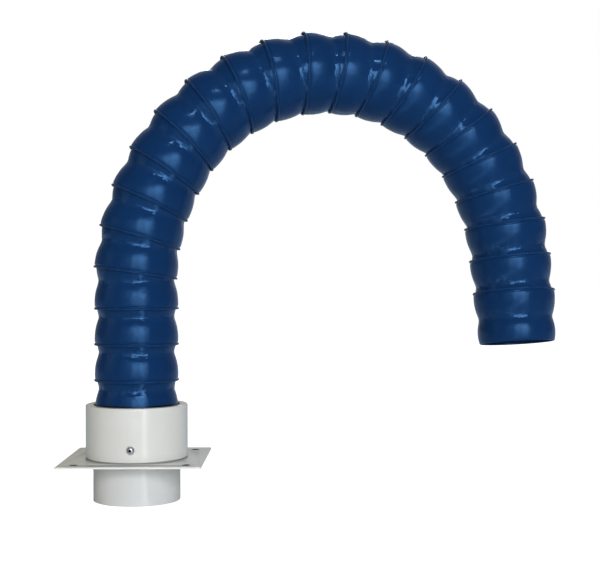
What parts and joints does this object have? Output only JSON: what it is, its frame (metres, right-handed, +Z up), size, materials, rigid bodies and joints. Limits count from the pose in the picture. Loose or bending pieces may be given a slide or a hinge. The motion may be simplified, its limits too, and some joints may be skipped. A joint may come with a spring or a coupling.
{
  "type": "fume extraction arm",
  "caption": "Self-supporting fume extraction arm of interlocking blue ball-and-socket duct segments, arched over from a white flanged duct base with collar and spigot.",
  "frame": {"origin": "centre of the mounting plate's underside, on the axis of the duct spigot", "axes": "+Z up along the spigot's axis, X and Y along the plate's edges, the arm arching over towards +X"},
  "size_m": [0.5705, 0.1826, 0.5424],
  "materials": {
    "blue_plastic": "semi-gloss moulded",
    "powder_coat": "smooth powder coat on sheet steel",
    "white_plastic": "satin moulded",
    "black_plastic": "satin moulded",
    "rubber": "matt cut sheet",
    "steel": "bright"
  },
  "bodies": {
    "base": {"mounting_plate": "powder_coat", "duct_spigot": "powder_coat", "collar": "white_plastic", "ball_adapter": "black_plastic", "collar_gasket": "rubber", "duct_seal": "rubber", "collar_screw_1": "steel", "collar_screw_2": "steel", "collar_screw_3": "steel"},
    "segment_01": {"arm_segment_01": "blue_plastic"},
    "segment_02": {"arm_segment_02": "blue_plastic"},
    "segment_03": {"arm_segment_03": "blue_plastic"},
    "segment_04": {"arm_segment_04": "blue_plastic"},
    "segment_05": {"arm_segment_05": "blue_plastic"},
    "segment_06": {"arm_segment_06": "blue_plastic"},
    "segment_07": {"arm_segment_07": "blue_plastic"},
    "segment_08": {"arm_segment_08": "blue_plastic"},
    "segment_09": {"arm_segment_09": "blue_plastic"},
    "segment_10": {"arm_segment_10": "blue_plastic"},
    "segment_11": {"arm_segment_11": "blue_plastic"},
    "segment_12": {"arm_segment_12": "blue_plastic"},
    "segment_13": {"arm_segment_13": "blue_plastic"},
    "segment_14": {"arm_segment_14": "blue_plastic"},
    "segment_15": {"arm_segment_15": "blue_plastic"},
    "segment_16": {"arm_segment_16": "blue_plastic"},
    "segment_17": {"arm_segment_17": "blue_plastic"},
    "segment_18": {"arm_segment_18": "blue_plastic"},
    "segment_19": {"arm_segment_19": "blue_plastic"},
    "segment_20": {"arm_segment_20": "blue_plastic"},
    "segment_21": {"arm_segment_21": "blue_plastic"},
    "segment_22": {"arm_segment_22": "blue_plastic"},
    "segment_23": {"arm_segment_23": "blue_plastic"}
  },
  "joints": [
    {"name": "arm_swivel", "type": "hinge", "parent": "base", "child": "segment_01", "pos_m": [0, 0, 0.057], "axis": [0, 0, 1], "continuous": true},
    {"name": "bend_01", "type": "hinge", "parent": "segment_01", "child": "segment_02", "pos_m": [0, 0, 0.098], "axis": [-0.1564, 0.9877, 0], "range_deg": [-12, 12]},
    {"name": "bend_02", "type": "hinge", "parent": "segment_02", "child": "segment_03", "pos_m": [0, 0, 0.139], "axis": [-0.1564, 0.9877, 0], "range_deg": [-12, 12]},
    {"name": "bend_03", "type": "hinge", "parent": "segment_03", "child": "segment_04", "pos_m": [0, 0, 0.18], "axis": [-0.1564, 0.9877, 0], "range_deg": [-12, 12]},
    {"name": "bend_04", "type": "hinge", "parent": "segment_04", "child": "segment_05", "pos_m": [0, 0, 0.221], "axis": [-0.1564, 0.9877, 0.0052], "range_deg": [-20.6, 3.4]},
    {"name": "bend_05", "type": "hinge", "parent": "segment_05", "child": "segment_06", "pos_m": [0.00609, 0.00075, 0.26154], "axis": [-0.1557, 0.9878, 0.0104], "range_deg": [-20.6, 3.4]},
    {"name": "bend_06", "type": "hinge", "parent": "segment_06", "child": "segment_07", "pos_m": [0.01813, 0.00223, 0.3007], "axis": [-0.1541, 0.9879, 0.0154], "range_deg": [-20.6, 3.4]},
    {"name": "bend_07", "type": "hinge", "parent": "segment_07", "child": "segment_08", "pos_m": [0.03585, 0.00442, 0.33761], "axis": [-0.1518, 0.9882, 0.0201], "range_deg": [-20.6, 3.4]},
    {"name": "bend_08", "type": "hinge", "parent": "segment_08", "child": "segment_09", "pos_m": [0.05885, 0.00727, 0.37143], "axis": [-0.1518, 0.9882, 0.0201], "range_deg": [-23, 1]},
    {"name": "bend_09", "type": "hinge", "parent": "segment_09", "child": "segment_10", "pos_m": [0.08779, 0.01113, 0.40021], "axis": [-0.1518, 0.9882, 0.0201], "range_deg": [-23, 1]},
    {"name": "bend_10", "type": "hinge", "parent": "segment_10", "child": "segment_11", "pos_m": [0.12162, 0.01587, 0.4229], "axis": [-0.1518, 0.9882, 0.0201], "range_deg": [-23, 1]},
    {"name": "bend_11", "type": "hinge", "parent": "segment_11", "child": "segment_12", "pos_m": [0.15908, 0.0213, 0.43865], "axis": [-0.1518, 0.9882, 0.0201], "range_deg": [-23, 1]},
    {"name": "bend_12", "type": "hinge", "parent": "segment_12", "child": "segment_13", "pos_m": [0.1988, 0.02724, 0.44688], "axis": [-0.1518, 0.9882, 0.0201], "range_deg": [-23, 1]},
    {"name": "bend_13", "type": "hinge", "parent": "segment_13", "child": "segment_14", "pos_m": [0.23933, 0.03345, 0.44731], "axis": [-0.138, 0.9902, 0.0203], "range_deg": [-23, 1]},
    {"name": "bend_14", "type": "hinge", "parent": "segment_14", "child": "segment_15", "pos_m": [0.27924, 0.03917, 0.4399], "axis": [-0.1244, 0.9921, 0.0177], "range_deg": [-23, 1]},
    {"name": "bend_15", "type": "hinge", "parent": "segment_15", "child": "segment_16", "pos_m": [0.31708, 0.04418, 0.42492], "axis": [-0.1115, 0.9937, 0.0126], "range_deg": [-23, 1]},
    {"name": "bend_16", "type": "hinge", "parent": "segment_16", "child": "segment_17", "pos_m": [0.35143, 0.04832, 0.40292], "axis": [-0.0998, 0.995, 0.0051], "range_deg": [-23, 1]},
    {"name": "bend_17", "type": "hinge", "parent": "segment_17", "child": "segment_18", "pos_m": [0.38103, 0.05144, 0.37472], "axis": [-0.0897, 0.996, -0.0045], "range_deg": [-23, 1]},
    {"name": "bend_18", "type": "hinge", "parent": "segment_18", "child": "segment_19", "pos_m": [0.40478, 0.05343, 0.34137], "axis": [-0.0816, 0.9965, -0.0158], "range_deg": [-23, 1]},
    {"name": "bend_19", "type": "hinge", "parent": "segment_19", "child": "segment_20", "pos_m": [0.42181, 0.05423, 0.30408], "axis": [-0.0751, 0.9967, -0.0301], "range_deg": [-20.4, 3.6]},
    {"name": "bend_20", "type": "hinge", "parent": "segment_20", "child": "segment_21", "pos_m": [0.43328, 0.0539, 0.26472], "axis": [-0.0707, 0.9965, -0.0452], "range_deg": [-20.4, 3.6]},
    {"name": "bend_21", "type": "hinge", "parent": "segment_21", "child": "segment_22", "pos_m": [0.43894, 0.05247, 0.22413], "axis": [-0.0656, 0.9945, -0.0814], "range_deg": [-14.8, 9.2]},
    {"name": "bend_22", "type": "hinge", "parent": "segment_22", "child": "segment_23", "pos_m": [0.44272, 0.04938, 0.18342], "axis": [-0.0622, 0.9911, -0.1177], "range_deg": [-14.8, 9.2]}
  ]
}
